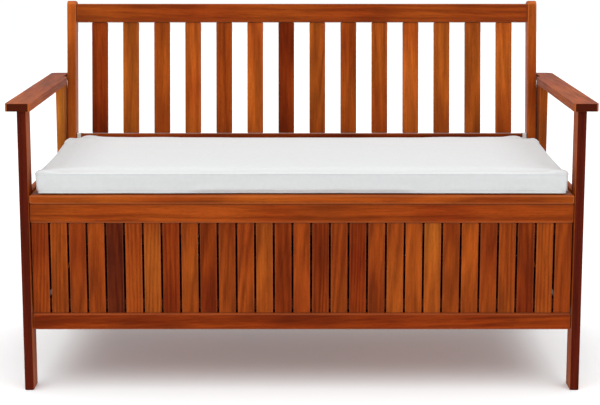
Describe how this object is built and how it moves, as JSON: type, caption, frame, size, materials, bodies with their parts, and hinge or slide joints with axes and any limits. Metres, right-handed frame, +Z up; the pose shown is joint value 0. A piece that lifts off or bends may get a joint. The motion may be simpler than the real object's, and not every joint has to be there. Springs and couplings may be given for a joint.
{
  "type": "garden storage bench",
  "caption": "Slatted hardwood garden bench with armrests and a leaning slatted back; the seat is a hinged lid over a slatted storage box, with a loose box cushion.",
  "frame": {"origin": "on the floor, in the middle of the bench's length and depth", "axes": "+X along the bench towards its right end as seen from the front, the front faces -Y, +Z up"},
  "size_m": [1.2, 0.6051, 0.7763],
  "materials": {
    "hardwood_front_legs": "oiled, satin",
    "hardwood_rear_legs": "oiled, satin",
    "hardwood_armrests": "oiled, satin, lightly greyed",
    "hardwood_rails": "oiled, satin",
    "hardwood_slats": "oiled, satin, each slat its own tone",
    "hardwood_seat": "oiled, satin",
    "hardwood_backrest": "oiled, satin",
    "hardwood_inner": "oiled, plain",
    "cushion_cloth": "plain woven polyester, matt",
    "hinge_brass": "satin brass",
    "bolt_zinc": "zinc plated"
  },
  "bodies": {
    "frame": {"front_leg_left": "hardwood_front_legs", "front_leg_right": "hardwood_front_legs", "rear_leg_left": "hardwood_rear_legs", "rear_leg_right": "hardwood_rear_legs", "armrest_left": "hardwood_armrests", "armrest_right": "hardwood_armrests", "front_top_rail": "hardwood_rails", "front_bottom_rail": "hardwood_rails", "back_top_rail": "hardwood_rails", "back_bottom_rail": "hardwood_rails", "side_top_rail_left": "hardwood_rails", "side_top_rail_right": "hardwood_rails", "side_bottom_rail_left": "hardwood_rails", "side_bottom_rail_right": "hardwood_rails", "front_slats": "hardwood_slats", "back_slats": "hardwood_slats", "side_slats_left": "hardwood_slats", "side_slats_right": "hardwood_slats", "seat_front_board": "hardwood_seat", "seat_rear_board": "hardwood_seat", "seat_end_strip_left": "hardwood_seat", "seat_end_strip_right": "hardwood_seat", "seat_front_cleat": "hardwood_inner", "seat_bearer_left": "hardwood_inner", "seat_bearer_right": "hardwood_inner", "box_floor": "hardwood_inner", "back_post_left": "hardwood_backrest", "back_post_right": "hardwood_backrest", "backrest_top_rail": "hardwood_backrest", "backrest_bottom_rail": "hardwood_backrest", "backrest_slat_01": "hardwood_backrest", "backrest_slat_02": "hardwood_backrest", "backrest_slat_03": "hardwood_backrest", "backrest_slat_04": "hardwood_backrest", "backrest_slat_05": "hardwood_backrest", "backrest_slat_06": "hardwood_backrest", "backrest_slat_07": "hardwood_backrest", "backrest_slat_08": "hardwood_backrest", "backrest_slat_09": "hardwood_backrest", "backrest_slat_10": "hardwood_backrest", "backrest_slat_11": "hardwood_backrest", "backrest_slat_12": "hardwood_backrest", "backrest_slat_13": "hardwood_backrest", "backrest_slat_14": "hardwood_backrest", "hinge_fixed_leaf_1": "hinge_brass", "hinge_fixed_leaf_2": "hinge_brass", "post_bolt_left_1": "bolt_zinc", "post_bolt_left_2": "bolt_zinc", "post_bolt_right_1": "bolt_zinc", "post_bolt_right_2": "bolt_zinc"},
    "lid": {"lid_board_1": "hardwood_seat", "lid_board_2": "hardwood_seat", "lid_board_3": "hardwood_seat", "lid_board_4": "hardwood_seat", "lid_batten_1": "hardwood_inner", "lid_batten_2": "hardwood_inner", "lid_batten_3": "hardwood_inner", "hinge_moving_leaf_1": "hinge_brass", "hinge_moving_leaf_2": "hinge_brass"},
    "cushion": {"cushion": "cushion_cloth"}
  },
  "joints": [
    {"name": "lid_hinge", "type": "hinge", "parent": "frame", "child": "lid", "pos_m": [0, 0.1594, 0.4105], "axis": [-1, 0, 0], "range_deg": [0, 92]},
    {"name": "cushion_slide", "type": "slide", "parent": "lid", "child": "cushion", "axis": [0, -1, 0], "range_m": [0, 0.2]}
  ]
}
